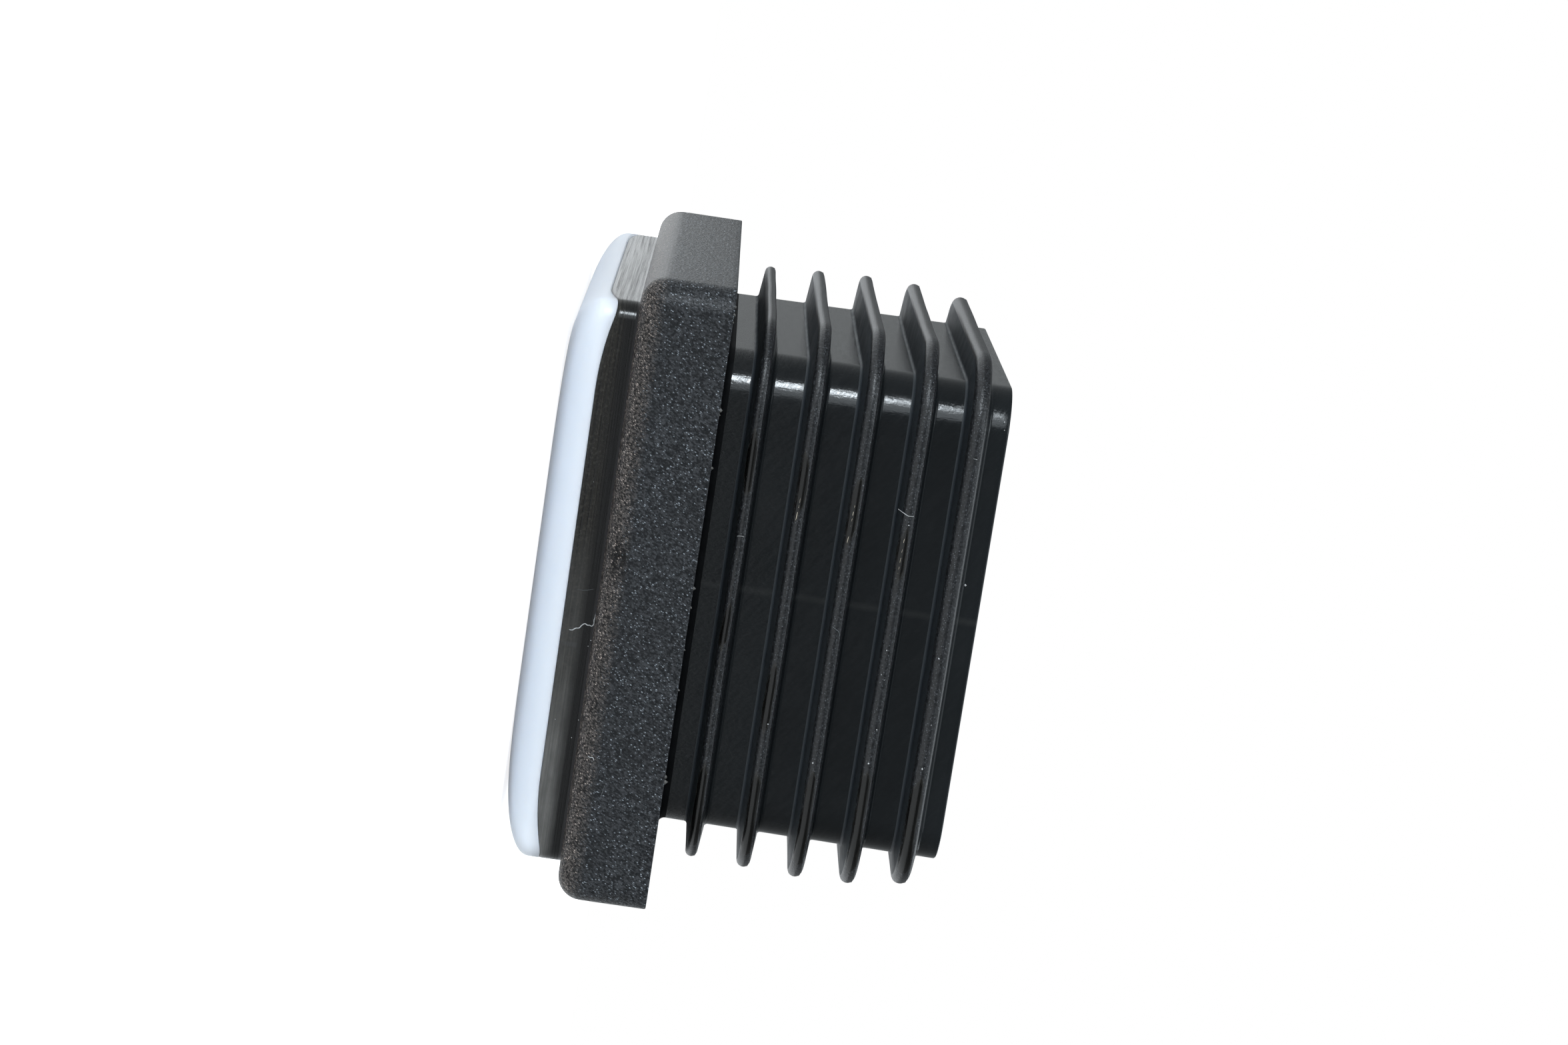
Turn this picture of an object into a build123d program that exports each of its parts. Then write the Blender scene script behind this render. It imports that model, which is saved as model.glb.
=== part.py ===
from build123d import *
import os
from math import cos, radians, sin

# Square tube end cap: a black moulding with a ribbed hollow plug, and a pale glide pad on its foot.
# It stands on the pad. +Z points along the plug to its open end, and the origin is the middle of the
# glide face. All sizes are millimetres.

# Glide pad
pad_thickness = 1.45         # from the glide face to the joint under the foot
pad_edge_run = 3.1           # how far the rounded edge reaches in from the side
pad_edge_rise = 1.38         # how high the rounded edge climbs
pad_face_corner = 4.0        # plan radius at the corners of the flat glide face
pad_edge_steps = 9           # flat strips that make up the rounded edge

# Foot that carries the pad
foot_side = 22.6
foot_height = 1.25
foot_corner = 0.8
joint_flat_radius = 13.6     # the joint is flat inside this radius and climbs outside it
joint_corner_rise = 0.42     # how far the pad wraps up at the foot's corners

# Flange that sits on the end of the tube
flange_side = 25.0
flange_height = 3.6
flange_corner = 1.1
flange_foot_round = 0.95     # rounded edge towards the foot

# Hollow plug
plug_length = 11.3
plug_root_side = 19.38       # outside of the plug where it leaves the flange
plug_mouth_side = 19.52      # it opens a little towards its end
plug_corner = 1.85
wall_mouth = 1.5
wall_floor = 1.8             # the hollow narrows towards its floor for release
hollow_corner = 0.9
floor_thickness = 3.2        # from the joint to the floor of the hollow
floor_bevel = 0.5

# Blade ribs round the plug
rib_first = 1.52             # from the flange to the middle of the first rib
rib_last = 1.3               # from the middle of the last rib to the end of the plug
rib_heights = (1.37, 1.48, 1.56, 1.50, 1.21)
rib_roots = (0.70, 0.76, 0.79, 0.80, 0.90)   # thickness of each rib at the plug
rib_taper = 0.24             # how much thinner a rib is at its tip
rib_tip_bevel = 0.13         # both sides of the tip
rib_embed = 0.3              # how far a blade reaches into the plug's wall

foot_bottom = pad_thickness
flange_bottom = foot_bottom + foot_height
seat_height = flange_bottom + flange_height
mouth_height = seat_height + plug_length
hollow_floor = foot_bottom + floor_thickness
rib_pitch = (plug_length - rib_first - rib_last) / (len(rib_heights) - 1)


def square(side, corner, height):
    """A square face with round corners, at the given height."""
    return Plane.XY.offset(height) * RectangleRounded(side, side, corner)


def slab(side, corner, bottom, top):
    """A square block with round corners between two heights."""
    return extrude(square(side, corner, bottom), amount=top - bottom)


def outline_edges(solid, height, reach):
    """The edges at one height that lie further out than the given reach."""
    def belongs(edge):
        middle = edge.center()
        return abs(middle.Z - height) < 0.001 and max(abs(middle.X), abs(middle.Y)) > reach
    return solid.edges().filter_by(belongs)


def joint_space():
    """The space above the joint: flat in the middle, climbing in an arc at the foot's corners."""
    foot_reach = (foot_side / 2 - foot_corner) * 2 ** 0.5 + foot_corner
    run = foot_reach - joint_flat_radius
    arc_radius = (run ** 2 + joint_corner_rise ** 2) / (2 * joint_corner_rise)
    halfway_rise = arc_radius - (arc_radius ** 2 - (run / 2) ** 2) ** 0.5
    axis_low = (0, 0, foot_bottom)
    flat_end = (joint_flat_radius, 0, foot_bottom)
    halfway = (joint_flat_radius + run / 2, 0, foot_bottom + halfway_rise)
    corner_low = (foot_reach, 0, foot_bottom + joint_corner_rise)
    corner_high = (foot_reach, 0, seat_height)
    axis_high = (0, 0, seat_height)
    straight = Polyline(corner_low, corner_high, axis_high, axis_low, flat_end)
    climb = ThreePointArc(flat_end, halfway, corner_low)
    return revolve(make_face([straight, climb]), Axis.Z)


def plug_side(height):
    """The outside of the plug at a height between its root and its mouth."""
    share = (height - seat_height) / plug_length
    return plug_root_side + share * (plug_mouth_side - plug_root_side)


def make_foot():
    return slab(foot_side, foot_corner, 0, flange_bottom + flange_height / 2) & joint_space()


def make_flange():
    block = slab(flange_side, flange_corner, flange_bottom, seat_height)
    reach = flange_side / 2 - flange_corner
    return fillet(outline_edges(block, flange_bottom, reach), flange_foot_round)


def make_plug():
    stub = slab(plug_root_side, plug_corner, seat_height - flange_height / 2, seat_height)
    sleeve = loft([
        square(plug_root_side, plug_corner, seat_height),
        square(plug_mouth_side, plug_corner, mouth_height),
    ])
    return stub + sleeve


def make_rib(middle, root, height):
    """One closed blade round the plug, thicker at its root than at its tip."""
    side = plug_side(middle)
    root_half = root / 2 + rib_taper / 2 * rib_embed / height
    tip_half = (root - rib_taper) / 2
    root_side, root_corner = side - 2 * rib_embed, plug_corner - rib_embed
    edge_half = tip_half - rib_tip_bevel
    tip_side, tip_corner = side + 2 * height, plug_corner + height
    blade_side, blade_corner = tip_side - 2 * rib_tip_bevel, tip_corner - rib_tip_bevel
    return loft([
        square(root_side, root_corner, middle - root_half),
        square(blade_side, blade_corner, middle - tip_half),
        square(tip_side, tip_corner, middle - edge_half),
        square(tip_side, tip_corner, middle + edge_half),
        square(blade_side, blade_corner, middle + tip_half),
        square(root_side, root_corner, middle + root_half),
    ], ruled=True)


def make_hollow():
    space = loft([
        square(plug_root_side - 2 * wall_floor, hollow_corner, hollow_floor),
        square(plug_mouth_side - 2 * wall_mouth, hollow_corner, mouth_height),
    ])
    return chamfer(space.edges().group_by(Axis.Z)[0], floor_bevel)


def make_insert():
    body = make_foot() + make_flange() + make_plug()
    for number, (root, height) in enumerate(zip(rib_roots, rib_heights)):
        middle = seat_height + rib_first + number * rib_pitch
        body += make_rib(middle, root, height)
    return body - make_hollow()


def make_glide_pad():
    outlines = []
    for step in range(pad_edge_steps + 1):
        turn = radians(90 * step / pad_edge_steps)
        inset = pad_edge_run * (1 - sin(turn))
        corner = foot_corner + (pad_face_corner - foot_corner) * inset / pad_edge_run
        outlines.append(square(foot_side - 2 * inset, corner, pad_edge_rise * (1 - cos(turn))))
    cushion = loft(outlines, ruled=True)
    rim = slab(foot_side, foot_corner, pad_edge_rise, foot_bottom + joint_corner_rise)
    return cushion + rim - joint_space()


os.makedirs("parts", exist_ok=True)
for name, shape in (("insert", make_insert()), ("glide_pad", make_glide_pad())):
    export_step(shape, f"parts/{name}.step")
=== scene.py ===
import bpy
import math
import random
from mathutils import Matrix, Vector, noise


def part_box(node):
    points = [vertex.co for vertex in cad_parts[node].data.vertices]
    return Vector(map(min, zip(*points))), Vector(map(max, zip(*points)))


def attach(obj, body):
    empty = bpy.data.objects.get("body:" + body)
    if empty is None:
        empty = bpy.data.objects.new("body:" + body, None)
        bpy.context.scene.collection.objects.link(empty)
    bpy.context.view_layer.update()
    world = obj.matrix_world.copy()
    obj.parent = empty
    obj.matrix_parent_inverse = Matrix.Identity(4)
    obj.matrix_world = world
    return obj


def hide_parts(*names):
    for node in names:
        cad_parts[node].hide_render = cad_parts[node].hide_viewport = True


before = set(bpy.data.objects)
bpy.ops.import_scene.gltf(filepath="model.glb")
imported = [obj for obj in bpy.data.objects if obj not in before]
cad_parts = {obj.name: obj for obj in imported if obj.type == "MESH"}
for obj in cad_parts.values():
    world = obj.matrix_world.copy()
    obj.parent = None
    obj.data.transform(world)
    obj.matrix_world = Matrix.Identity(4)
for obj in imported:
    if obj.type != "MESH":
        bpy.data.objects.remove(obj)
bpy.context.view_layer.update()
print("frame loaded")

mm = 0.001
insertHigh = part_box("insert")[1]
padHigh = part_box("glide_pad")[1]

# every outline of the cap is a square with round corners; this is how finely it is drawn
outline = {"cornerSteps": 14, "sideSteps": 60}

foot = {
    "half": padHigh.x,          # same outline as the pad
    "corner": 0.8 * mm,
    "bottom": 1.45 * mm,
    "jointFlat": 13.6 * mm,     # the joint climbs outside this radius
    "jointRise": 0.42 * mm,
    # how far in from the side the outlines on the joint lie
    "insets": [3.0 * mm, 1.6 * mm, 1.1 * mm, 0.8 * mm, 0.5 * mm, 0.25 * mm, 0.12 * mm],
    "leastCorner": 0.1 * mm,
    "edge": 0.05 * mm,
    "rub": (2.32 * mm, 1.85 * mm),   # the pale rub's place across and up
}

flange = {
    "half": insertHigh.x,
    "corner": 1.1 * mm,
    "bottom": 2.7 * mm,
    "top": 6.3 * mm,
    "footRound": 0.95 * mm,
    "seatRound": 0.06 * mm,
    "stain": (-1.65 * mm, 3.3 * mm),   # a darker patch's place across and up
}

plug = {
    "rootHalf": 9.69 * mm,
    "mouthHalf": 9.76 * mm,
    "corner": 1.85 * mm,
    "top": insertHigh.z,
    "rootRound": 0.28 * mm,
    "witness": -0.5 * mm,       # the mould's line across the plug
    "mouthRound": 0.08 * mm,
    "wallMouth": 1.5 * mm,
    "wallFloor": 1.8 * mm,
    "hollowCorner": 0.9 * mm,
    "hollowFloor": 4.65 * mm,
    "floorRound": 0.6 * mm,
}

ribs = {
    "first": 7.82 * mm,
    "pitch": 2.12 * mm,
    "heights": [1.37 * mm, 1.48 * mm, 1.56 * mm, 1.50 * mm, 1.21 * mm],
    "roots": [0.70 * mm, 0.76 * mm, 0.79 * mm, 0.80 * mm, 0.90 * mm],
    "taper": 0.24 * mm,
    "rounding": 0.97,           # share of the tip's half thickness that is rounded
    "rootRound": 0.13 * mm,
    "hold": 0.012 * mm,         # keeps the shading of the round root off the flat beside it
    "wave": 0.02 * mm,          # how far a blade's tip wanders up and down
    "waveLength": 6.0 * mm,
    "polishShift": 0.05 * mm,   # the polished stretches lie this far towards the foot
    "polishFade": 1.1,          # they fade over this length in millimetres
    "polishEnd": 0.2,           # from this value at their ends
    "flash": 0.02 * mm,         # thin line of flash along the tip
    # where the mould has polished the tips on the front side, from left to right of the cap
    "polished": [
        [(-7.2, -4.4), (-0.2, 2.0), (6.2, 12.0)],
        [(-6.6, -3.7), (1.9, 4.9), (6.2, 12.0)],
        [(-6.0, -3.1), (6.0, 12.0)],
        [(-4.3, -1.8), (5.6, 12.0)],
        [(5.6, 12.0)],
    ],
}

pad = {
    "half": padHigh.x,
    "corner": 0.8 * mm,
    "run": 3.1 * mm,            # the rounded edge reaches this far in
    "rise": 1.38 * mm,
    "faceCorner": 4.0 * mm,
    "edge": 0.05 * mm,
    "steps": 18,
}


def newMaterial(name, settings):
    material = bpy.data.materials.new(name)
    material.use_nodes = True
    shader = material.node_tree.nodes["Principled BSDF"]
    for socket, value in settings.items():
        shader.inputs[socket].default_value = value
    nodes, links = material.node_tree.nodes, material.node_tree.links
    return material, nodes, links, shader, addNode(nodes, "ShaderNodeTexCoord")


def addNode(nodes, kind, **values):
    node = nodes.new(kind)
    for key, value in values.items():
        if key in node.inputs:
            node.inputs[key].default_value = value
        else:
            setattr(node, key, value)
    return node


def scaledPlace(nodes, links, place, scale, turn):
    # the object's own coordinates, scaled along each axis and turned about the axis that points to the front
    mapping = addNode(nodes, "ShaderNodeMapping", vector_type="TEXTURE")
    mapping.inputs["Rotation"].default_value = (0.0, math.radians(turn), 0.0)
    mapping.inputs["Scale"].default_value = [1.0 / value for value in scale]
    links.new(place.outputs["Object"], mapping.inputs["Vector"])
    return mapping.outputs["Vector"]


def stretchedNoise(nodes, links, place, pattern, turn=0.0):
    # a pattern is how fine the noise is along X, Y and Z (per metre), its detail and its roughness
    scale, detail, roughness = pattern
    cloud = addNode(nodes, "ShaderNodeTexNoise", Scale=1.0, Detail=detail, Roughness=roughness)
    links.new(scaledPlace(nodes, links, place, scale, turn), cloud.inputs["Vector"])
    return cloud.outputs["Fac"]


def paintedSparkle(nodes, links, place, pattern, turn=0.0):
    # painted glints: scattered bright points in the colour, standing in for highlights; how fine, how large,
    # and the share of them that stays dark
    scale, size, least = pattern
    cells = addNode(nodes, "ShaderNodeTexVoronoi", Scale=1.0)
    links.new(scaledPlace(nodes, links, place, scale, turn), cells.inputs["Vector"])
    tone = addNode(nodes, "ShaderNodeSeparateColor")
    links.new(cells.outputs["Color"], tone.inputs["Color"])
    strength = addNode(nodes, "ShaderNodeMath", operation="POWER")
    links.new(spread(nodes, links, tone.outputs["Red"], least, 1.0), strength.inputs[0])
    strength.inputs[1].default_value = 2.0
    dot = spread(nodes, links, cells.outputs["Distance"], 0.4 * size, size, 1.0, 0.0)
    return multiplied(nodes, links, dot, strength.outputs["Value"])


def multiplied(nodes, links, first, second):
    node = addNode(nodes, "ShaderNodeMath", operation="MULTIPLY")
    links.new(first, node.inputs[0])
    links.new(second, node.inputs[1])
    return node.outputs["Value"]


def spread(nodes, links, source, low, high, outLow=0.0, outHigh=1.0):
    node = addNode(nodes, "ShaderNodeMapRange")
    for socket, value in (("From Min", low), ("From Max", high), ("To Min", outLow), ("To Max", outHigh)):
        node.inputs[socket].default_value = value
    links.new(source, node.inputs["Value"])
    return node.outputs["Result"]


def blendColours(nodes, links, share, first, second):
    node = addNode(nodes, "ShaderNodeMix", data_type="RGBA")
    links.new(share, node.inputs["Factor"])
    for socket, colour in ((node.inputs[6], first), (node.inputs[7], second)):
        if isinstance(colour, tuple):
            socket.default_value = (*colour, 1.0)
        else:
            links.new(colour, socket)
    return node.outputs[2]


def mottled(nodes, links, pattern, colours, low=0.3, high=0.7):
    # two colours mixed by a pattern
    return blendColours(nodes, links, spread(nodes, links, pattern, low, high), *colours)


def blendValues(nodes, links, share, first, second):
    node = addNode(nodes, "ShaderNodeMix", data_type="FLOAT")
    links.new(share, node.inputs["Factor"])
    for socket, value in ((node.inputs[2], first), (node.inputs[3], second)):
        if isinstance(value, float):
            socket.default_value = value
        else:
            links.new(value, socket)
    return node.outputs[0]


def addBump(nodes, links, source, distance, below=None):
    node = addNode(nodes, "ShaderNodeBump", Strength=1.0, Distance=distance)
    links.new(source, node.inputs["Height"])
    if below is not None:
        links.new(below, node.inputs["Normal"])
    return node.outputs["Normal"]


def axisParts(nodes, links, place):
    parts = addNode(nodes, "ShaderNodeSeparateXYZ")
    links.new(place.outputs["Object"], parts.inputs["Vector"])
    return parts.outputs


def nearLine(nodes, links, source, at, inner, outer):
    # 1 on a line, fading to 0 on both sides of it
    shift = addNode(nodes, "ShaderNodeMath", operation="SUBTRACT")
    links.new(source, shift.inputs[0])
    shift.inputs[1].default_value = at
    size = addNode(nodes, "ShaderNodeMath", operation="ABSOLUTE")
    links.new(shift.outputs["Value"], size.inputs[0])
    return spread(nodes, links, size.outputs["Value"], inner, outer, 1.0, 0.0)


smoothLook = {
    "surface": {"Roughness": 0.17, "IOR": 1.46, "Specular IOR Level": 0.3},
    "roughness": (0.12, 0.22),
    "body": ((0.0084, 0.0100, 0.0112), (0.0108, 0.0126, 0.0140)),
    "line": (0.0185, 0.0200, 0.0206),
    "lineWidth": (0.03 * mm, 0.2 * mm),       # full inside the first, gone outside the second
    "lineDepth": (0.12 * mm, 0.3 * mm),       # keeps the line on the plug's outside
    "brush": ((1500.0, 1500.0, 14000.0), 2.0, 0.6),
    "brushTurn": 34.0,
    "brushDepth": 0.0007 * mm,
    "along": ((13000.0, 13000.0, 3800.0), 2.0, 0.6),
    "alongDepth": 0.0048 * mm,
    "cloud": ((260.0, 260.0, 260.0), 2.0, 0.5),
}


def smoothBlack():
    # the plug: polished mould with fine crossing brush marks, and a witness line across its middle
    look = smoothLook
    material, nodes, links, shader, place = newMaterial("smoothBlack", look["surface"])
    leaning = stretchedNoise(nodes, links, place, look["brush"], look["brushTurn"])
    crossing = stretchedNoise(nodes, links, place, look["brush"], -look["brushTurn"])
    along = stretchedNoise(nodes, links, place, look["along"])
    cloud = stretchedNoise(nodes, links, place, look["cloud"])
    parts = axisParts(nodes, links, place)
    line = nearLine(nodes, links, parts["X"], plug["witness"], *look["lineWidth"])
    fromMiddle = addNode(nodes, "ShaderNodeMath", operation="ABSOLUTE")
    links.new(parts["Y"], fromMiddle.inputs[0])
    outside = nearLine(nodes, links, fromMiddle.outputs["Value"], plug["mouthHalf"], *look["lineDepth"])
    links.new(spread(nodes, links, leaning, 0.3, 0.7, *look["roughness"]), shader.inputs["Roughness"])
    body = mottled(nodes, links, cloud, look["body"])
    lined = blendColours(nodes, links, multiplied(nodes, links, line, outside), body, look["line"])
    links.new(lined, shader.inputs["Base Color"])
    marks = addBump(nodes, links, leaning, look["brushDepth"])
    marks = addBump(nodes, links, crossing, look["brushDepth"], marks)
    links.new(addBump(nodes, links, along, look["alongDepth"], marks), shader.inputs["Normal"])
    return material


litFlankLook = {
    "surface": {"Roughness": 0.5, "IOR": 1.46, "Specular IOR Level": 0.3},
    "roughness": (0.45, 0.6),
    "body": ((0.0180, 0.0225, 0.0270), (0.0240, 0.0290, 0.0335)),
    "cloud": ((900.0, 900.0, 900.0), 3.0, 0.6),
}


def litFlankBlack():
    # the blades' sides towards the foot: rougher, and painted lighter and bluer as if lit from that side
    look = litFlankLook
    material, nodes, links, shader, place = newMaterial("litFlankBlack", look["surface"])
    cloud = stretchedNoise(nodes, links, place, look["cloud"])
    links.new(mottled(nodes, links, cloud, look["body"]), shader.inputs["Base Color"])
    links.new(spread(nodes, links, cloud, 0.3, 0.7, *look["roughness"]), shader.inputs["Roughness"])
    return material


shadedSeatLook = {
    "surface": {"Roughness": 0.6, "IOR": 1.46, "Specular IOR Level": 0.1},
    "body": ((0.0022, 0.0025, 0.0030), (0.0052, 0.0056, 0.0064)),
    "cloud": ((1200.0, 1200.0, 1200.0), 3.0, 0.6),
    "depth": 0.01 * mm,
}


def shadedSeatBlack():
    # painted shade: a dark, rough finish with little gloss on the round corner where the plug meets the flange
    look = shadedSeatLook
    material, nodes, links, shader, place = newMaterial("shadedSeatBlack", look["surface"])
    cloud = stretchedNoise(nodes, links, place, look["cloud"])
    links.new(mottled(nodes, links, cloud, look["body"]), shader.inputs["Base Color"])
    links.new(addBump(nodes, links, cloud, look["depth"]), shader.inputs["Normal"])
    return material


footLook = {
    "surface": {"Roughness": 0.3, "IOR": 1.46, "Specular IOR Level": 0.32},
    "roughness": (0.09, 0.30),
    "wiped": ((0.0030, 0.0029, 0.0025), (0.0170, 0.0148, 0.0115)),
    "litEnd": ((0.1050, 0.1030, 0.0990), (0.1600, 0.1550, 0.1470)),
    "litEndAlong": (-2.5 * mm, 8.5 * mm),       # from the wiped tone to the painted-lit end along the side
    "cloudy": (0.0085, 0.0078, 0.0066),
    "speck": (0.0900, 0.0820, 0.0700),
    # painted shade: the foot turns black next to the flange, under its overhang, between the heights below
    "black": (0.0018, 0.0019, 0.0021),
    "shadeUp": (1.95 * mm, 2.35 * mm),        # begins and is full at these heights
    "rub": (0.0480, 0.0480, 0.0475),
    "rubWidth": (0.06 * mm, 0.12 * mm),
    "rubHeight": (0.22 * mm, 0.32 * mm),
    "rubShare": 0.6,
    "streaks": ((90.0, 90.0, 9000.0), 4.0, 0.7),
    "streakSpan": (0.40, 0.64),
    "cloudShare": (0.35, 0.75, 0.0, 0.6),     # the pattern's low and high values, and the shares they give
    "speckShare": (0.48, 0.78, 0.0, 0.3),
    "cloud": ((500.0, 500.0, 1100.0), 3.0, 0.6),
    "grain": ((7500.0, 7500.0, 10000.0), 2.0, 0.65),
    "depth": 0.004 * mm,
}


def footBlack():
    # the foot: brownish wiping streaks, painted paler towards one end as if more light fell there, painted
    # shade next to the flange under its overhang, and a pale rub near the pad
    look = footLook
    material, nodes, links, shader, place = newMaterial("footBlack", look["surface"])
    parts = axisParts(nodes, links, place)
    streaks = stretchedNoise(nodes, links, place, look["streaks"])
    cloud = stretchedNoise(nodes, links, place, look["cloud"])
    grain = stretchedNoise(nodes, links, place, look["grain"])
    wipedTone = mottled(nodes, links, streaks, look["wiped"], *look["streakSpan"])
    litEndTone = mottled(nodes, links, streaks, look["litEnd"], *look["streakSpan"])
    # painted light: paler towards one end, where more light would fall
    litEndShare = spread(nodes, links, parts["X"], *look["litEndAlong"])
    tone = blendColours(nodes, links, litEndShare, wipedTone, litEndTone)
    tone = blendColours(nodes, links, spread(nodes, links, cloud, *look["cloudShare"]), tone, look["cloudy"])
    tone = blendColours(nodes, links, spread(nodes, links, grain, *look["speckShare"]), tone, look["speck"])
    # painted shade next to the flange
    tone = blendColours(nodes, links, spread(nodes, links, parts["Z"], *look["shadeUp"]), tone, look["black"])
    across = nearLine(nodes, links, parts["X"], foot["rub"][0], *look["rubWidth"])
    up = nearLine(nodes, links, parts["Z"], foot["rub"][1], *look["rubHeight"])
    rub = spread(nodes, links, multiplied(nodes, links, across, up), 0.0, 1.0, 0.0, look["rubShare"])
    links.new(blendColours(nodes, links, rub, tone, look["rub"]), shader.inputs["Base Color"])
    links.new(spread(nodes, links, streaks, 0.35, 0.65, *look["roughness"]), shader.inputs["Roughness"])
    links.new(addBump(nodes, links, streaks, look["depth"]), shader.inputs["Normal"])
    return material


grainLook = {
    "surface": {"Roughness": 0.32, "IOR": 1.5, "Specular IOR Level": 0.15},
    "body": ((0.0110, 0.0118, 0.0132), (0.0510, 0.0530, 0.0572)),
    "worn": (0.0110, 0.0112, 0.0118),
    # the warm edge is partly painted light: paler than the rest of the flange, as if lit from the foot's side
    "warmLitEdge": ((0.0080, 0.0070, 0.0066), (0.1200, 0.1040, 0.0950)),
    "warmUp": (3.05 * mm, 3.7 * mm),          # the warm colours fade between these heights
    "grainSpan": (0.42, 0.66),
    "wornShare": (0.35, 0.75, 0.0, 0.4),      # the pattern's low and high values, and the shares they give
    "stain": (0.0018, 0.0016, 0.0016),
    "stainBreaks": (0.3, 0.55),
    "stainWidth": (0.30 * mm, 1.0 * mm),
    "stainHeight": (0.18 * mm, 0.5 * mm),
    "paintedCoolGlint": (0.350, 0.385, 0.425),
    "paintedWarmGlint": (0.640, 0.540, 0.480),
    "fine": ((15000.0, 11000.0, 8200.0), 1.5, 0.65),
    "coarse": ((4600.0, 4600.0, 4600.0), 1.0, 0.5),
    "cloud": ((300.0, 300.0, 300.0), 3.0, 0.6),
    "streaks": ((1500.0, 1500.0, 5000.0), 2.0, 0.6),
    "paintedCoolGlints": ((15500.0, 10500.0, 8200.0), 0.38, 0.32),
    "paintedWarmGlints": ((15500.0, 11000.0, 8400.0), 0.45, 0.2),
    "turn": 25.0,
    "coarseDepth": 0.022 * mm,
    "fineDepth": 0.026 * mm,
}


def grainedBlack():
    # the flange: fine spark-eroded grain with painted glints, and on its rounded edge towards the foot warmer
    # and painted paler, with denser painted glints, as if lit from that side
    look = grainLook
    material, nodes, links, shader, place = newMaterial("grainedBlack", look["surface"])
    parts = axisParts(nodes, links, place)
    fine = stretchedNoise(nodes, links, place, look["fine"], look["turn"])
    coarse = stretchedNoise(nodes, links, place, look["coarse"])
    cloud = stretchedNoise(nodes, links, place, look["cloud"])
    streaks = stretchedNoise(nodes, links, place, look["streaks"])
    edge = spread(nodes, links, parts["Z"], *look["warmUp"], 1.0, 0.0)
    body = mottled(nodes, links, fine, look["body"], *look["grainSpan"])
    body = blendColours(nodes, links, spread(nodes, links, cloud, *look["wornShare"]), body, look["worn"])
    warmLitEdge = mottled(nodes, links, fine, look["warmLitEdge"], *look["grainSpan"])
    base = blendColours(nodes, links, edge, body, warmLitEdge)
    across = nearLine(nodes, links, parts["X"], flange["stain"][0], *look["stainWidth"])
    up = nearLine(nodes, links, parts["Z"], flange["stain"][1], *look["stainHeight"])
    stain = multiplied(nodes, links, multiplied(nodes, links, across, up),
                       spread(nodes, links, streaks, *look["stainBreaks"]))
    base = blendColours(nodes, links, stain, base, look["stain"])
    # painted glints: bright dots in the colour stand in for highlights on the grain, denser on the painted-lit
    # edge
    paintedCoolDots = paintedSparkle(nodes, links, place, look["paintedCoolGlints"], look["turn"])
    paintedWarmDots = paintedSparkle(nodes, links, place, look["paintedWarmGlints"], look["turn"])
    cool = blendColours(nodes, links, paintedCoolDots, base, look["paintedCoolGlint"])
    dense = blendColours(nodes, links, paintedWarmDots, base, look["paintedWarmGlint"])
    links.new(blendColours(nodes, links, edge, cool, dense), shader.inputs["Base Color"])
    rolling = addBump(nodes, links, coarse, look["coarseDepth"])
    links.new(addBump(nodes, links, fine, look["fineDepth"], rolling), shader.inputs["Normal"])
    return material


ribTipLook = {
    "surface": {"Roughness": 0.36, "IOR": 1.5, "Specular IOR Level": 0.35},
    "roughness": (0.36, 0.26),                # dull and polished
    "dull": ((0.0050, 0.0055, 0.0062), (0.0165, 0.0172, 0.0190)),
    "dullSpan": (0.35, 0.65),
    "paintedGlint": (0.105, 0.112, 0.122),
    "rim": (0.0135, 0.0122, 0.0098),
    "core": (0.0016, 0.0015, 0.0013),
    "rimFrom": (0.24, 0.38),                  # how polished it is where the rim and the core begin
    "coreFrom": (0.32, 0.44),
    "ragged": 0.22,                           # how ragged their edges are
    "breakUp": ((600.0, 600.0, 5000.0), 3.0, 0.65),
    "fine": ((11000.0, 11000.0, 11000.0), 1.0, 0.5),
    "paintedGlints": ((14500.0, 14500.0, 14500.0), 0.42, 0.25),
    "depth": 0.016 * mm,
    "wornDepth": (0.35, 0.65),                # the polished stretches' relief stays between these
}


def ribTipBlack():
    # the blades' tips: fine grain with painted glints, and stretches that are polished black inside a brownish
    # rim
    look = ribTipLook
    material, nodes, links, shader, place = newMaterial("ribTipBlack", look["surface"])
    mark = addNode(nodes, "ShaderNodeAttribute", attribute_name="polish")
    breakUp = stretchedNoise(nodes, links, place, look["breakUp"])
    fine = stretchedNoise(nodes, links, place, look["fine"])
    polish = addNode(nodes, "ShaderNodeMath", operation="ADD")
    links.new(mark.outputs["Fac"], polish.inputs[0])
    links.new(spread(nodes, links, breakUp, 0.3, 0.7, -look["ragged"], look["ragged"]), polish.inputs[1])
    rim = spread(nodes, links, polish.outputs["Value"], *look["rimFrom"])
    core = spread(nodes, links, polish.outputs["Value"], *look["coreFrom"])
    tone = mottled(nodes, links, fine, look["dull"], *look["dullSpan"])
    # painted glints: bright dots in the colour stand in for highlights on the grain
    tone = blendColours(nodes, links, paintedSparkle(nodes, links, place, look["paintedGlints"]), tone, look["paintedGlint"])
    tone = blendColours(nodes, links, rim, tone, look["rim"])
    links.new(blendColours(nodes, links, core, tone, look["core"]), shader.inputs["Base Color"])
    links.new(spread(nodes, links, rim, 0.0, 1.0, *look["roughness"]), shader.inputs["Roughness"])
    worn = spread(nodes, links, breakUp, 0.0, 1.0, *look["wornDepth"])
    height = blendValues(nodes, links, rim, fine, worn)
    links.new(addBump(nodes, links, height, look["depth"]), shader.inputs["Normal"])
    return material


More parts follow.
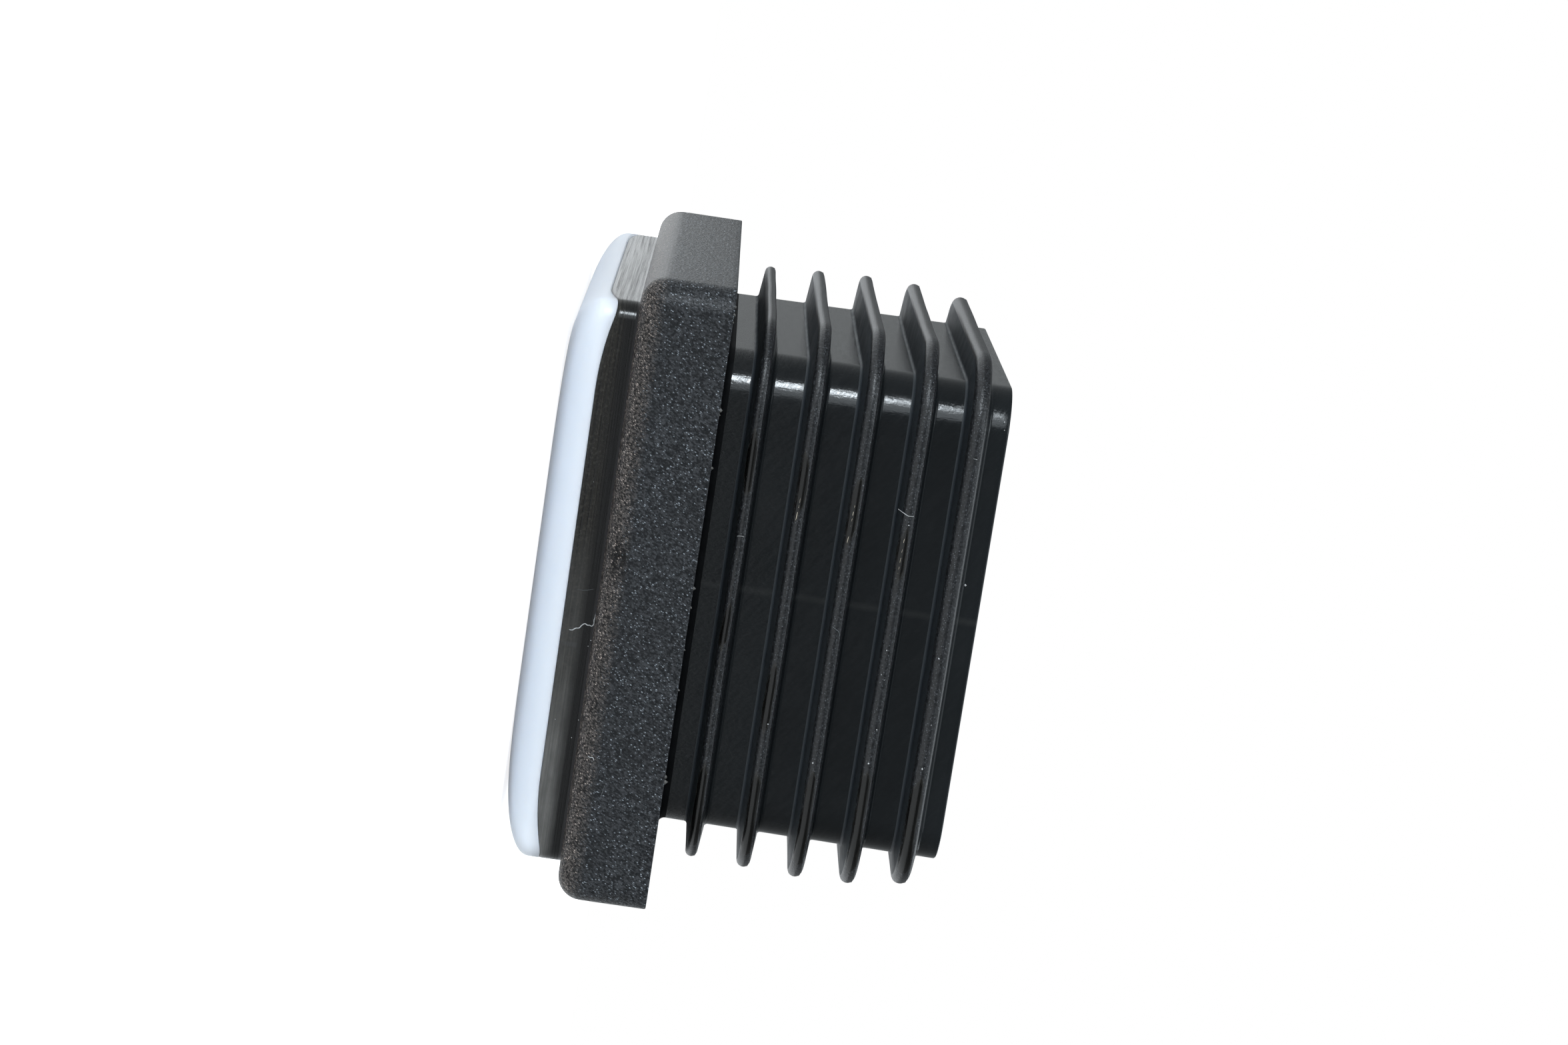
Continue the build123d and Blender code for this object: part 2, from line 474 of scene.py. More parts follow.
paleLook = {
    "surface": {"Roughness": 0.34, "IOR": 1.46, "Sheen Weight": 0.2, "Sheen Roughness": 0.4,
                "Subsurface Weight": 0.5, "Subsurface Scale": 1.0 * mm, "Subsurface Radius": (0.8, 0.9, 1.0)},
    "body": ((0.822, 0.872, 0.990), (0.842, 0.886, 1.000)),
    "cloud": ((400.0, 400.0, 900.0), 3.0, 0.5),
    "fine": ((5000.0, 5000.0, 5000.0), 2.0, 0.5),
    "depth": 0.003 * mm,
}


def palePlastic():
    # the pad: bluish white plastic that lets a little light in
    look = paleLook
    material, nodes, links, shader, place = newMaterial("palePlastic", look["surface"])
    cloud = stretchedNoise(nodes, links, place, look["cloud"])
    fine = stretchedNoise(nodes, links, place, look["fine"])
    links.new(mottled(nodes, links, cloud, look["body"]), shader.inputs["Base Color"])
    links.new(addBump(nodes, links, fine, look["depth"]), shader.inputs["Normal"])
    return material


blackFinishes = [smoothBlack(), grainedBlack(), ribTipBlack(), footBlack(), litFlankBlack(), shadedSeatBlack()]
smooth, grained, ribTip, wiped, litFlank, shadedSeat = range(6)
palePlasticFinish = palePlastic()


def roundedSquare(half, corner, height):
    # the same number of points for any size, so that outlines can be joined
    points = []
    cornerSteps, sideSteps = outline["cornerSteps"], outline["sideSteps"]
    straight = half - corner
    for quarter in range(4):
        turn = Matrix.Rotation(quarter * math.pi / 2, 2)
        for step in range(cornerSteps + 1):
            angle = math.pi / 2 * step / cornerSteps
            across, up = straight + corner * math.cos(angle), straight + corner * math.sin(angle)
            points.append(turn @ Vector((across, up)))
        for step in range(1, sideSteps):
            points.append(turn @ Vector((straight - 2 * straight * step / sideSteps, half)))
    return [Vector((point.x, point.y, height)) for point in points]


def arc(half, corner, height, radius, start, end, steps):
    # a round edge seen in section: angle 0 points outwards and 90 degrees up
    rings = []
    for step in range(steps + 1):
        angle = math.radians(start + (end - start) * step / steps)
        out = radius * math.cos(angle)
        rings.append((half + out, corner + out, height + radius * math.sin(angle)))
    return rings


def jointHeight(point):
    # flat in the middle, and a climbing arc outside that, up to its full rise at the foot's corners
    reach = (foot["half"] - foot["corner"]) * math.sqrt(2) + foot["corner"]
    run = reach - foot["jointFlat"]
    radius = (run ** 2 + foot["jointRise"] ** 2) / (2 * foot["jointRise"])
    beyond = max(0.0, Vector((point.x, point.y)).length - foot["jointFlat"])
    return foot["bottom"] + radius - math.sqrt(max(0.0, radius ** 2 - beyond ** 2))


def jointRing(inset, lift=0.0):
    # an outline of the foot, this far in from its side, that follows the joint
    ring = roundedSquare(foot["half"] - inset, max(foot["leastCorner"], foot["corner"] - inset), 0.0)
    for point in ring:
        point.z = jointHeight(point) + lift
    return ring


def skin(name, rings, finishes, materials):
    # joins closed outlines into one closed surface and caps both ends
    count = len(rings[0])
    vertices = [tuple(point) for ring in rings for point in ring]
    faces, kinds = [], []
    for level in range(len(rings) - 1):
        low, high = level * count, (level + 1) * count
        for step in range(count):
            after = (step + 1) % count
            faces.append((low + step, low + after, high + after, high + step))
            kinds.append(finishes[level])
    last = (len(rings) - 1) * count
    faces.append(tuple(reversed(range(count))))
    faces.append(tuple(range(last, last + count)))
    kinds += [finishes[0], finishes[-1]]
    mesh = bpy.data.meshes.new(name)
    mesh.from_pydata(vertices, [], faces)
    for face, kind in zip(mesh.polygons, kinds):
        face.material_index = kind
        face.use_smooth = True
    for material in materials:
        mesh.materials.append(material)
    piece = bpy.data.objects.new(name, mesh)
    bpy.context.collection.objects.link(piece)
    even = piece.modifiers.new("evenNormals", "WEIGHTED_NORMAL")
    even.keep_sharp = True
    return piece


def plugHalf(height):
    # the plug grows a little from the flange to its mouth
    share = (height - flange["top"]) / (plug["top"] - flange["top"])
    return plug["rootHalf"] + share * (plug["mouthHalf"] - plug["rootHalf"])


def ribOutlines(number):
    # one blade, from its root on the side towards the foot over the tip to the other root
    middle = ribs["first"] + number * ribs["pitch"]
    base, reach = plugHalf(middle), ribs["heights"][number]
    rootHalf = ribs["roots"][number] / 2
    tipHalf = rootHalf - ribs["taper"] / 2
    rounding = tipHalf * ribs["rounding"]
    half, corner = base + reach - rounding, plug["corner"] + reach - rounding
    flat, root = tipHalf - rounding, ribs["rootRound"]
    low = [(base, plug["corner"], middle - rootHalf - root - ribs["hold"])]
    for step in range(6):
        angle = math.radians(18 * step)
        out = root * (1 - math.cos(angle))
        low.append((base + out, plug["corner"] + out, middle - rootHalf - root * (1 - math.sin(angle))))
    for share in (0.35, 0.7):
        out = root + share * (reach - rounding - root)
        thick = rootHalf + share * (tipHalf - rootHalf)
        low.append((base + out, plug["corner"] + out, middle - thick))
    high = [(ring[0], ring[1], 2 * middle - ring[2]) for ring in reversed(low)]
    tip = arc(half, corner, middle - flat, rounding, -90, 0, 8)
    upper = arc(half, corner, middle + flat, rounding, 0, 90, 9)
    for place in (4, 5):          # the line of flash stands a hair above the round tip
        angle = math.radians(10 * place)
        lift = ribs["flash"] if place == 4 else 0.0
        out, up = (rounding + lift) * math.cos(angle), (rounding + lift) * math.sin(angle)
        upper[place] = (half + out, corner + out, middle + flat + up)
    # rougher and painted lighter, as if lit, on the side towards the foot; grained over the tip and smooth
    # towards the plug's end
    finishes = [smooth] + [litFlank] * 8 + [ribTip] * 18 + [smooth] * 10
    return low + tip + upper + high, finishes, middle


def bendRib(points, middle, base, reach, seed):
    # the blade's tip wanders a little along its length
    for point in points:
        out = max(abs(point.x), abs(point.y)) - base
        share = max(0.0, min(1.0, out / reach)) ** 2
        place = Vector((point.x, point.y, seed * 10 * mm)) / ribs["waveLength"]
        point.z += share * ribs["wave"] * noise.noise(place) * 2


def polishedSpans():
    # front side from the table, one stretch at a random place on sides 1 and 2, none on side 3
    chance = random.Random(7)
    spans = {}
    for number, front in enumerate(ribs["polished"]):
        spans[number, 0] = front
        for side in (1, 2, 3):
            start = chance.uniform(-7.0, 3.0)
            spans[number, side] = [(start, start + chance.uniform(1.5, 4.0))] if side < 3 else []
    return spans


def tipPlace(point):
    # which blade, which side, how far along that side and how far off the tip's middle
    last = len(ribs["heights"]) - 1
    number = min(last, max(0, round((point.z - ribs["first"]) / ribs["pitch"])))
    if abs(point.y) >= abs(point.x):
        side, along = (0, point.x) if point.y < 0 else (2, -point.x)
    else:
        side, along = (1, point.y) if point.x > 0 else (3, -point.y)
    tipHalf = (ribs["roots"][number] - ribs["taper"]) / 2
    off = (point.z - ribs["first"] - number * ribs["pitch"] + ribs["polishShift"]) / tipHalf
    return number, side, along / mm, off


def markPolish(piece):
    # how polished the tip is at each point: full in the middle of a stretch, fading towards its ends and sides
    spans = polishedSpans()
    mark = piece.data.attributes.new("polish", "FLOAT", "POINT")
    values = []
    for vertex in piece.data.vertices:
        number, side, along, off = tipPlace(vertex.co)
        value = 0.0
        for start, end in spans[number, side]:
            inside = ribs["polishEnd"] + min(along - start, end - along) / ribs["polishFade"]
            value = max(value, min(1.0, max(0.0, inside)))
        values.append(value * max(0.0, 1.0 - abs(off)))
    mark.data.foreach_set("value", values)


def buildInsert():
    # from the joint up the outside, over the mouth and down into the hollow;
    # the rings close to an edge keep the shading of the flats beside it even
    rings, finishes = [], []

    def add(half, corner, height, finish):
        rings.append(roundedSquare(half, corner, height))
        finishes.append(finish)

    edge = foot["edge"]
    onJoint = [(inset, 0.0) for inset in foot["insets"]]
    onJoint += [(edge, 0.0), (0.3 * edge, 0.3 * edge), (0.0, edge), (0.0, 2 * edge)]
    for inset, lift in onJoint:
        rings.append(jointRing(inset, lift))
        finishes.append(wiped)
    add(foot["half"], foot["corner"], flange["bottom"] - 0.1 * mm, wiped)
    add(foot["half"], foot["corner"], flange["bottom"], grained)
    curve = flange["footRound"]
    inner, innerCorner = flange["half"] - curve, flange["corner"] - curve
    for half, corner, height in arc(inner, innerCorner, flange["bottom"] + curve, curve, -90, 0, 10):
        add(half, corner, height, grained)
    add(flange["half"], flange["corner"], flange["bottom"] + 1.2 * mm, grained)
    add(flange["half"], flange["corner"], flange["top"] - flange["seatRound"] - 0.2 * mm, grained)
    curve = flange["seatRound"]
    edge, edgeCorner = flange["half"] - curve, flange["corner"] - curve
    for half, corner, height in arc(edge, edgeCorner, flange["top"] - curve, curve, 0, 90, 4):
        add(half, corner, height, grained)
    add(edge - 0.3 * mm, edgeCorner, flange["top"], smooth)
    add(plug["rootHalf"] + 0.5 * mm, plug["corner"] + 0.3 * mm, flange["top"], smooth)
    # the round corner at the plug's root gets the painted shade finish
    root = plug["rootRound"]
    for step in range(7):
        angle = math.radians(15 * step)
        out, up = root * (1 - math.sin(angle)), root * (1 - math.cos(angle))
        add(plug["rootHalf"] + out, plug["corner"] + out, flange["top"] + up, shadedSeat)
    add(plug["rootHalf"], plug["corner"], flange["top"] + root + ribs["hold"], smooth)
    for number in range(len(ribs["heights"])):
        outlines, kinds, middle = ribOutlines(number)
        base = plugHalf(middle)
        clear = ribs["roots"][number] / 2 + ribs["rootRound"] + 0.06 * mm
        add(base, plug["corner"], middle - clear, smooth)
        for (half, corner, height), kind in zip(outlines, kinds + [smooth]):
            add(half, corner, height, kind)
            bendRib(rings[-1], middle, base, ribs["heights"][number], number)
        add(base, plug["corner"], middle + clear, smooth)
    lip, lipHeight = plug["mouthRound"], plug["top"] - plug["mouthRound"]
    add(plug["mouthHalf"], plug["corner"], lipHeight - 0.2 * mm, smooth)
    for half, corner, height in arc(plug["mouthHalf"] - lip, plug["corner"] - lip, lipHeight, lip, 0, 90, 4):
        add(half, corner, height, smooth)
    hollowHalf, hollowCorner = plug["mouthHalf"] - plug["wallMouth"], plug["hollowCorner"]
    for half, corner, height in arc(hollowHalf + lip, hollowCorner + lip, lipHeight, -lip, -90, 0, 4):
        add(half, corner, height, smooth)
    floorHalf = plug["rootHalf"] - plug["wallFloor"]
    curve = plug["floorRound"]
    curveHeight = plug["hollowFloor"] + curve
    add(hollowHalf - 0.02 * mm, hollowCorner, plug["top"] - 0.6 * mm, smooth)
    add(floorHalf + 0.02 * mm, hollowCorner, curveHeight + 0.5 * mm, smooth)
    for half, corner, height in arc(floorHalf - curve, hollowCorner - curve, curveHeight, curve, 0, -90, 6):
        add(half, corner, height, smooth)
    add(floorHalf - curve - 0.5 * mm, hollowCorner - curve, plug["hollowFloor"], smooth)
    piece = skin("capMoulding", rings, finishes, blackFinishes)
    markPolish(piece)
    return piece


def buildPad():
    # from the middle of the glide face up the rounded edge, and back in along the joint
    rings = []
    for inset in (8.0 * mm, 5.0 * mm, pad["run"] + 0.3 * mm):
        half = pad["half"] - inset
        rings.append(roundedSquare(half, min(pad["faceCorner"], half - 0.5 * mm), 0.0))
    for step in range(pad["steps"] + 1):
        angle = math.pi / 2 * step / pad["steps"]
        inset = pad["run"] * (1 - math.sin(angle))
        corner = pad["corner"] + (pad["faceCorner"] - pad["corner"]) * inset / pad["run"]
        rings.append(roundedSquare(pad["half"] - inset, corner, pad["rise"] * (1 - math.cos(angle))))
    edge = pad["edge"]
    rings += [jointRing(0.0, -edge), jointRing(0.3 * edge, -0.3 * edge), jointRing(edge)]
    rings += [jointRing(inset) for inset in reversed(foot["insets"])]
    return skin("glidePad", rings, [0] * len(rings), [palePlasticFinish])


moulding = buildInsert()
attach(moulding, "root")
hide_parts("insert")
print("moulding built")

glide = buildPad()
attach(glide, "root")
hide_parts("glide_pad")
print("pad built")

# loose bits, and painted glints, on the front side, each by its place along the side and its height, in
# millimetres
lint = {
    "threads": [          # surface, radius, points
        ("foot", 0.020, [(1.74, 1.76), (1.77, 1.88), (1.64, 2.00), (1.64, 2.14), (1.50, 2.22),
                         (1.40, 2.34), (1.48, 2.44), (1.45, 2.53), (1.50, 2.62), (1.37, 2.70),
                         (1.22, 2.66), (1.13, 2.70), (1.00, 2.69)]),
        ("flange", 0.014, [(6.38, 3.20), (6.44, 3.30), (6.36, 3.40), (6.50, 3.46)]),
        ("rib3", 0.013, [(-4.86, -0.48), (-4.72, -0.22), (-4.64, -0.02), (-4.68, 0.16)]),
        ("rib0", 0.011, [(-2.86, -0.12), (-2.90, 0.02), (-2.86, 0.14)]),
        ("rib4", 0.008, [(-7.22, -0.02), (-7.20, 0.14)]),
    ],
    "faint": [
        ("rib2", 0.010, [(0.12, -0.16), (0.20, -0.02), (0.28, 0.12), (0.46, 0.16)]),
        ("foot", 0.006, [(0.10, 1.85), (0.12, 2.10), (0.06, 2.32), (0.01, 2.47)]),
        ("flange", 0.007, [(7.42, 4.02), (7.72, 3.95), (8.02, 3.92)]),
        ("flange", 0.007, [(8.05, 5.30), (8.12, 5.20), (8.28, 5.12)]),
    ],
    "paintedGlints": [           # painted glints: pale slivers standing in for highlights in the polished stretches
        ("rib1", 0.018, [(-4.16, -0.08), (-4.02, -0.09), (-3.84, -0.10)]),
        ("rib1", 0.006, [(-4.72, -0.05), (-4.64, -0.05), (-4.54, -0.06)]),
        ("rib1", 0.005, [(-4.44, -0.06), (-4.38, -0.06), (-4.30, -0.07)]),
        ("rib2", 0.012, [(-4.52, -0.06), (-4.44, -0.07), (-4.36, -0.07)]),
        ("rib2", 0.009, [(-4.26, -0.07), (-4.20, -0.07), (-4.14, -0.08)]),
        ("rib2", 0.015, [(-3.52, -0.10), (-3.41, -0.11), (-3.26, -0.12)]),
        ("rib2", 0.006, [(-4.78, -0.05), (-4.73, -0.05), (-4.68, -0.06)]),
        ("rib2", 0.005, [(-4.02, -0.08), (-3.94, -0.08), (-3.88, -0.09)]),
        ("rib3", 0.012, [(-3.74, -0.06), (-3.67, -0.07), (-3.58, -0.07)]),
        ("rib3", 0.006, [(-3.34, -0.07), (-3.26, -0.08), (-3.18, -0.08)]),
        ("rib3", 0.010, [(-2.98, -0.08), (-2.88, -0.09), (-2.78, -0.09)]),
        ("rib3", 0.007, [(-2.62, -0.09), (-2.56, -0.09), (-2.50, -0.10)]),
        ("rib3", 0.004, [(-2.40, -0.10), (-2.34, -0.10), (-2.28, -0.11)]),
    ],
    "specks": [           # surface, along, up, size
        ("plug", -1.96, 16.88, 0.11), ("rib4", 0.85, -0.08, 0.07), ("rib4", 5.36, -0.02, 0.10),
        ("rib3", 5.38, -0.05, 0.08), ("rib2", 5.68, -0.10, 0.07), ("rib1", 4.40, 0.05, 0.06),
        ("rib3", 0.75, -0.05, 0.05), ("rib3", 1.75, -0.10, 0.05), ("rib3", 1.95, 0.04, 0.04),
        ("rib3", -6.67, 0.20, 0.05), ("rib3", -5.84, 0.18, 0.05), ("rib3", -4.30, 0.02, 0.05),
        ("rib3", 3.98, 0.06, 0.06), ("rib4", 3.55, 0.05, 0.05), ("plug", 1.86, 11.80, 0.05),
        ("foot", 2.30, 2.58, 0.05), ("foot", 2.05, 2.66, 0.05), ("foot", 5.30, 2.62, 0.05),
        ("foot", 6.05, 2.45, 0.04), ("foot", 5.40, 1.72, 0.04), ("foot", -4.20, 1.90, 0.03),
        ("plug", -8.62, 17.35, 0.06), ("plug", -8.30, 17.40, 0.05),
    ],
}


def surfaceOut(surface, up):
    # how far out the front of a surface lies at this height; on a blade the height counts from its middle
    if surface == "foot":
        return foot["half"], up * mm
    if surface == "flange":
        inner = flange["bottom"] + flange["footRound"] - up * mm
        drop = flange["footRound"] - math.sqrt(max(0.0, flange["footRound"] ** 2 - max(0.0, inner) ** 2))
        return flange["half"] - drop, up * mm
    if surface == "plug":
        return plugHalf(up * mm), up * mm
    number = int(surface[-1])
    middle = ribs["first"] + number * ribs["pitch"]
    tipHalf = ribs["roots"][number] / 2 - ribs["taper"] / 2
    inside = min(abs(up * mm), 0.8 * tipHalf)
    drop = tipHalf - math.sqrt(tipHalf ** 2 - inside ** 2)
    return plugHalf(middle) + ribs["heights"][number] - drop, middle + up * mm


def frontPoint(surface, along, up, lift=0.0):
    out, height = surfaceOut(surface, up)
    return Vector((along * mm, -(out + lift), height))


def looseFinish(name, colours, roughness, fine=4000.0):
    # lint, painted glints and crumbs: two colours in fine spots
    material, nodes, links, shader, place = newMaterial(name, {"Roughness": roughness, "IOR": 1.5})
    cloud = stretchedNoise(nodes, links, place, ((fine, fine, fine), 2.0, 0.5))
    links.new(mottled(nodes, links, cloud, colours), shader.inputs["Base Color"])
    return material


paleLint = looseFinish("paleLint", ((0.30, 0.30, 0.29), (0.62, 0.63, 0.64)), 0.7)
faintLint = looseFinish("faintLint", ((0.075, 0.085, 0.090), (0.130, 0.142, 0.150)), 0.7)
paintedWarmGlint = looseFinish("paintedWarmGlint", ((0.40, 0.33, 0.24), (0.80, 0.71, 0.57)), 0.3)


def buildThreads(name, threads, finish, endShare, ribLift=0.0):
    # radius and lift in millimetres; endShare is how thick a thread's ends are beside its middle
    curve = bpy.data.curves.new(name, "CURVE")
    curve.dimensions = "3D"
    curve.bevel_depth = mm
    curve.bevel_resolution = 2
    curve.resolution_u = 8
    for surface, radius, places in threads:
        lift = 0.4 * radius + (ribLift if surface.startswith("rib") else 0.0)
        spline = curve.splines.new("NURBS")
        spline.points.add(len(places) - 1)
        for index, (point, (along, up)) in enumerate(zip(spline.points, places)):
            at = frontPoint(surface, along, up, lift * mm)
            point.co = (*at, 1.0)
            point.radius = radius * (endShare if index in (0, len(places) - 1) else 1.0)
        spline.order_u = 3
        spline.use_endpoint_u = True
    curve.materials.append(finish)
    piece = bpy.data.objects.new(name, curve)
    bpy.context.collection.objects.link(piece)
    return piece


def addBit(vertices, faces, at, size, chance):
    # one tiny irregular crumb, flatter towards the surface that it lies on
    shape = [(1, 0, 0), (-1, 0, 0), (0, 0, 1), (0, 0, -1), (0.6, -0.5, 0.6), (-0.6, -0.5, 0.5),
             (0.5, -0.5, -0.6), (-0.5, -0.5, -0.6), (0, 0.4, 0)]
    start = len(vertices)
    for x, y, z in shape:
        wobble = chance.uniform(0.6, 1.25)
        vertices.append((at.x + x * size * wobble, at.y + y * size * wobble, at.z + z * size * wobble))
    for face in ((0, 4, 6), (0, 2, 4), (2, 5, 4), (1, 5, 2), (1, 7, 5), (3, 7, 1), (3, 6, 7), (0, 6, 3),
                 (4, 5, 6), (5, 7, 6), (0, 8, 2), (2, 8, 1), (1, 8, 3), (3, 8, 0)):
        faces.append(tuple(start + corner for corner in face))


def meshPiece(name, vertices, faces, material):
    mesh = bpy.data.meshes.new(name)
    mesh.from_pydata(vertices, [], faces)
    mesh.materials.append(material)
    for face in mesh.polygons:
        face.use_smooth = True
    piece = bpy.data.objects.new(name, mesh)
    bpy.context.collection.objects.link(piece)
    return piece


def buildSpecks():
    chance = random.Random(11)
    vertices, faces = [], []
    for surface, along, up, size in lint["specks"]:
        addBit(vertices, faces, frontPoint(surface, along, up), size * mm / 2, chance)
    return meshPiece("lintSpecks", vertices, faces, paleLint)


# flash left by the mould on the edge of the flange next to the ribs, by place and size
flash = {
    "front": [(-7.89, 0.09), (-7.70, 0.05), (-5.63, 0.08), (-0.85, 0.10), (-0.10, 0.07), (1.61, 0.05),
              (3.22, 0.06), (6.95, 0.12), (6.75, 0.08), (-11.6, 0.07), (-11.3, 0.05), (-11.9, 0.06)],
    "sunk": 0.02 * mm,
    "sides": (1, 2),            # sides that have some at random places
    "perSide": 5,
    "colours": ((0.035, 0.034, 0.032), (0.10, 0.097, 0.092)),
}


def buildFlash():
    chance = random.Random(23)
    vertices, faces = [], []
    out = flange["half"] - flash["sunk"]
    for along, size in flash["front"]:
        at = Vector((along * mm, -(out - size * mm / 2), flange["top"]))
        addBit(vertices, faces, at, size * mm, chance)
    for side in flash["sides"]:
        turn = Matrix.Rotation(side * math.pi / 2, 3, "Z")
        for count in range(flash["perSide"]):
            size = chance.uniform(0.04, 0.09) * mm
            at = turn @ Vector((chance.uniform(-11.5, 11.5) * mm, -(out - size / 2), flange["top"]))
            addBit(vertices, faces, at, size, chance)
    return meshPiece("edgeFlash", vertices, faces, looseFinish("flashBlack", flash["colours"], 0.4, 6000.0))


threads = buildThreads("lintThreads", lint["threads"], paleLint, 0.7, 0.03)
hairs = buildThreads("faintHairs", lint["faint"], faintLint, 0.8, 0.03)
# painted glints: pale slivers stand in for highlights on the polished tips
paintedGlints = buildThreads("tipPaintedGlints", lint["paintedGlints"], paintedWarmGlint, 0.3)
specks = buildSpecks()
edgeFlash = buildFlash()
for piece, slot in ((threads, "pale_plastic"), (hairs, "pale_plastic"), (paintedGlints, "black_plastic"),
                    (specks, "pale_plastic"), (edgeFlash, "black_plastic")):
    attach(piece, "root")
print("lint and flash placed")

# the floor under the cap is white to the camera and takes the cap's shadow
room = {
    "floorHalf": 0.6,
    "shade": 0.9,
    "glow": 0.78,               # near the cap, where the floor's own lit colour adds the rest
    "farGlow": 1.0,
    "fade": (0.06, 0.25),       # from near to far
    "sheen": 0.45,              # seen in gloss
}


def rayShare(nodes, links, white, gloss):
    # how much of a glow the camera and rays through the object see, and how much glossy rays see
    path = addNode(nodes, "ShaderNodeLightPath")
    total = spread(nodes, links, path.outputs["Is Camera Ray"], 0.0, 1.0, 0.0, white)
    for kind, share in (("Is Transmission Ray", white), ("Is Glossy Ray", gloss)):
        both = addNode(nodes, "ShaderNodeMath", operation="MAXIMUM")
        links.new(total, both.inputs[0])
        links.new(spread(nodes, links, path.outputs[kind], 0.0, 1.0, 0.0, share), both.inputs[1])
        total = both.outputs["Value"]
    return total


def buildFloor():
    material = bpy.data.materials.new("paperWhite")
    material.use_nodes = True
    nodes, links = material.node_tree.nodes, material.node_tree.links
    nodes.clear()
    paper = addNode(nodes, "ShaderNodeBsdfDiffuse")
    paper.inputs["Color"].default_value = (room["shade"], room["shade"], room["shade"], 1.0)
    glow = addNode(nodes, "ShaderNodeEmission")
    near = rayShare(nodes, links, room["glow"], room["sheen"])
    far = rayShare(nodes, links, room["farGlow"], room["sheen"])
    place = addNode(nodes, "ShaderNodeTexCoord")
    reach = addNode(nodes, "ShaderNodeVectorMath", operation="LENGTH")
    links.new(place.outputs["Object"], reach.inputs[0])
    distance = spread(nodes, links, reach.outputs["Value"], *room["fade"])
    links.new(blendValues(nodes, links, distance, near, far), glow.inputs["Strength"])
    both = addNode(nodes, "ShaderNodeAddShader")
    links.new(paper.outputs["BSDF"], both.inputs[0])
    links.new(glow.outputs["Emission"], both.inputs[1])
    out = addNode(nodes, "ShaderNodeOutputMaterial")
    links.new(both.outputs["Shader"], out.inputs["Surface"])
    half = room["floorHalf"]
    mesh = bpy.data.meshes.new("floor")
    corners = [(-half, -half, 0), (half, -half, 0), (half, half, 0), (-half, half, 0)]
    mesh.from_pydata(corners, [], [(0, 1, 2, 3)])
    mesh.materials.append(material)
    floor = bpy.data.objects.new("floor", mesh)
    bpy.context.collection.objects.link(floor)


buildFloor()

# turn in degrees from straight in front towards the top of the picture, then distance, height and size
# in metres, and power in watts
lamps = {
    "key": {"turn": 48.0, "far": 0.30, "height": 0.012, "size": (0.055, 0.022), "power": 0.36},
    "skirt": {"turn": 36.0, "far": 0.30, "height": 0.040, "size": (0.15, 0.075), "power": 0.145},
    "fill": {"turn": 30.0, "far": 0.20, "height": 0.26, "size": (0.20, 0.20), "power": 0.35},
    "top": {"turn": -20.0, "far": 0.22, "height": 0.42, "size": (0.40, 0.40), "power": 0.57},
    "back": {"turn": -140.0, "far": 0.26, "height": 0.34, "size": (0.30, 0.30), "power": 0.45},
}
light = {
    "aim": 9 * mm,              # the lamps point at this height on the cap
    "tint": (0.86, 0.94, 1.0),
    "soft": 0.34,               # from all round, for rays that aren't glossy
    "worldTint": (0.93, 0.98, 1.0),
    "gloss": (0.26, 0.18),      # seen in gloss, level with the cap and overhead
    "rise": (0.08, 0.40),       # one turns into the other between these heights
    "backdrop": (0.80, 1.35),   # share of it behind the camera and behind the cap
    "depth": (-0.4, 0.6),       # one turns into the other between these depths
}


def addLamp(name, lamp):
    data = bpy.data.lights.new(name + "Lamp", "AREA")
    data.shape = "RECTANGLE"
    data.size, data.size_y = lamp["size"]
    data.energy = lamp["power"]
    data.color = light["tint"]
    turn = math.radians(lamp["turn"])
    place = Vector((-math.sin(turn) * lamp["far"], -math.cos(turn) * lamp["far"], lamp["height"]))
    piece = bpy.data.objects.new(name + "Lamp", data)
    piece.location = place
    piece.rotation_mode = "QUATERNION"
    piece.rotation_quaternion = (place - Vector((0, 0, light["aim"]))).to_track_quat("Z", "Y")
    bpy.context.collection.objects.link(piece)


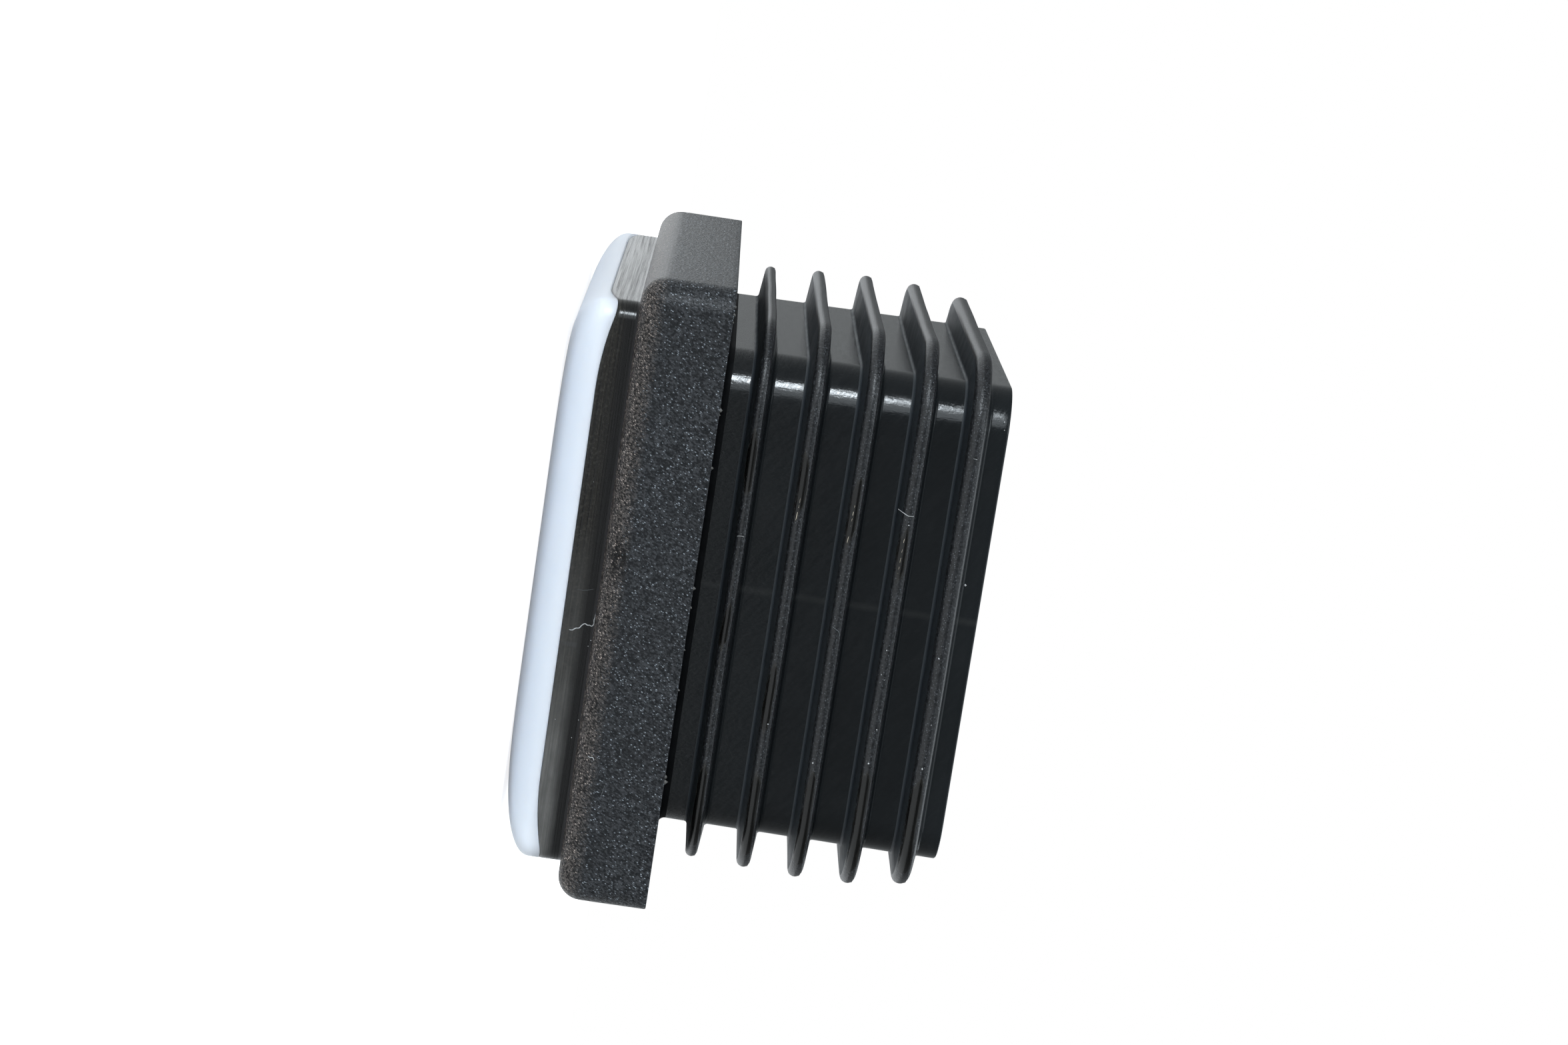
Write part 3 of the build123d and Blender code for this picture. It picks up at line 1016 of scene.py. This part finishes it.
def lightScene():
    for name, lamp in lamps.items():
        addLamp(name, lamp)
    world = bpy.data.worlds.new("studio")
    bpy.context.scene.world = world
    world.use_nodes = True
    nodes, links = world.node_tree.nodes, world.node_tree.links
    back = nodes["Background"]
    place = addNode(nodes, "ShaderNodeTexCoord")
    parts = addNode(nodes, "ShaderNodeSeparateXYZ")
    links.new(place.outputs["Generated"], parts.inputs["Vector"])
    dim = spread(nodes, links, parts.outputs["Z"], *light["rise"], *light["gloss"])
    backdrop = spread(nodes, links, parts.outputs["Y"], *light["depth"], *light["backdrop"])
    path = addNode(nodes, "ShaderNodeLightPath")
    around = blendValues(nodes, links, path.outputs["Is Glossy Ray"], light["soft"],
                         multiplied(nodes, links, dim, backdrop))
    white = rayShare(nodes, links, 1.0, 0.0)
    links.new(blendValues(nodes, links, white, around, 1.0), back.inputs["Strength"])
    links.new(blendColours(nodes, links, white, light["worldTint"], (1.0, 1.0, 1.0)), back.inputs["Color"])


lightScene()
print("lights set")

# the photograph looks along the cap's side with the plug to the right
camera = {
    "place": Vector((-29.24, -137.82, 4.87)) * mm,
    "tip": 11.41,               # degrees, turned about the plug's axis
    "swing": -2.01,
    "roll": 8.37,
    "lens": 76.6,
}


def placeCamera():
    data = bpy.data.cameras.new("photoCamera")
    data.sensor_width = 36.0
    data.lens = camera["lens"]
    data.clip_start, data.clip_end = 1 * mm, 10.0
    view = bpy.data.objects.new("photoCamera", data)
    bpy.context.collection.objects.link(view)
    axes = Matrix(((0, 0, 1), (1, 0, 0), (0, 1, 0)))   # right, down and forward of an untilted camera
    turned = (Matrix.Rotation(math.radians(camera["roll"]), 3, "Z")
              @ Matrix.Rotation(math.radians(camera["swing"]), 3, "Y")
              @ Matrix.Rotation(math.radians(camera["tip"]), 3, "X") @ axes)
    facing = turned.transposed() @ Matrix.Diagonal((1, -1, -1))
    view.matrix_world = Matrix.Translation(camera["place"]) @ facing.to_4x4()
    bpy.context.scene.camera = view


placeCamera()
bpy.context.scene.view_settings.view_transform = "Standard"
print("camera placed")
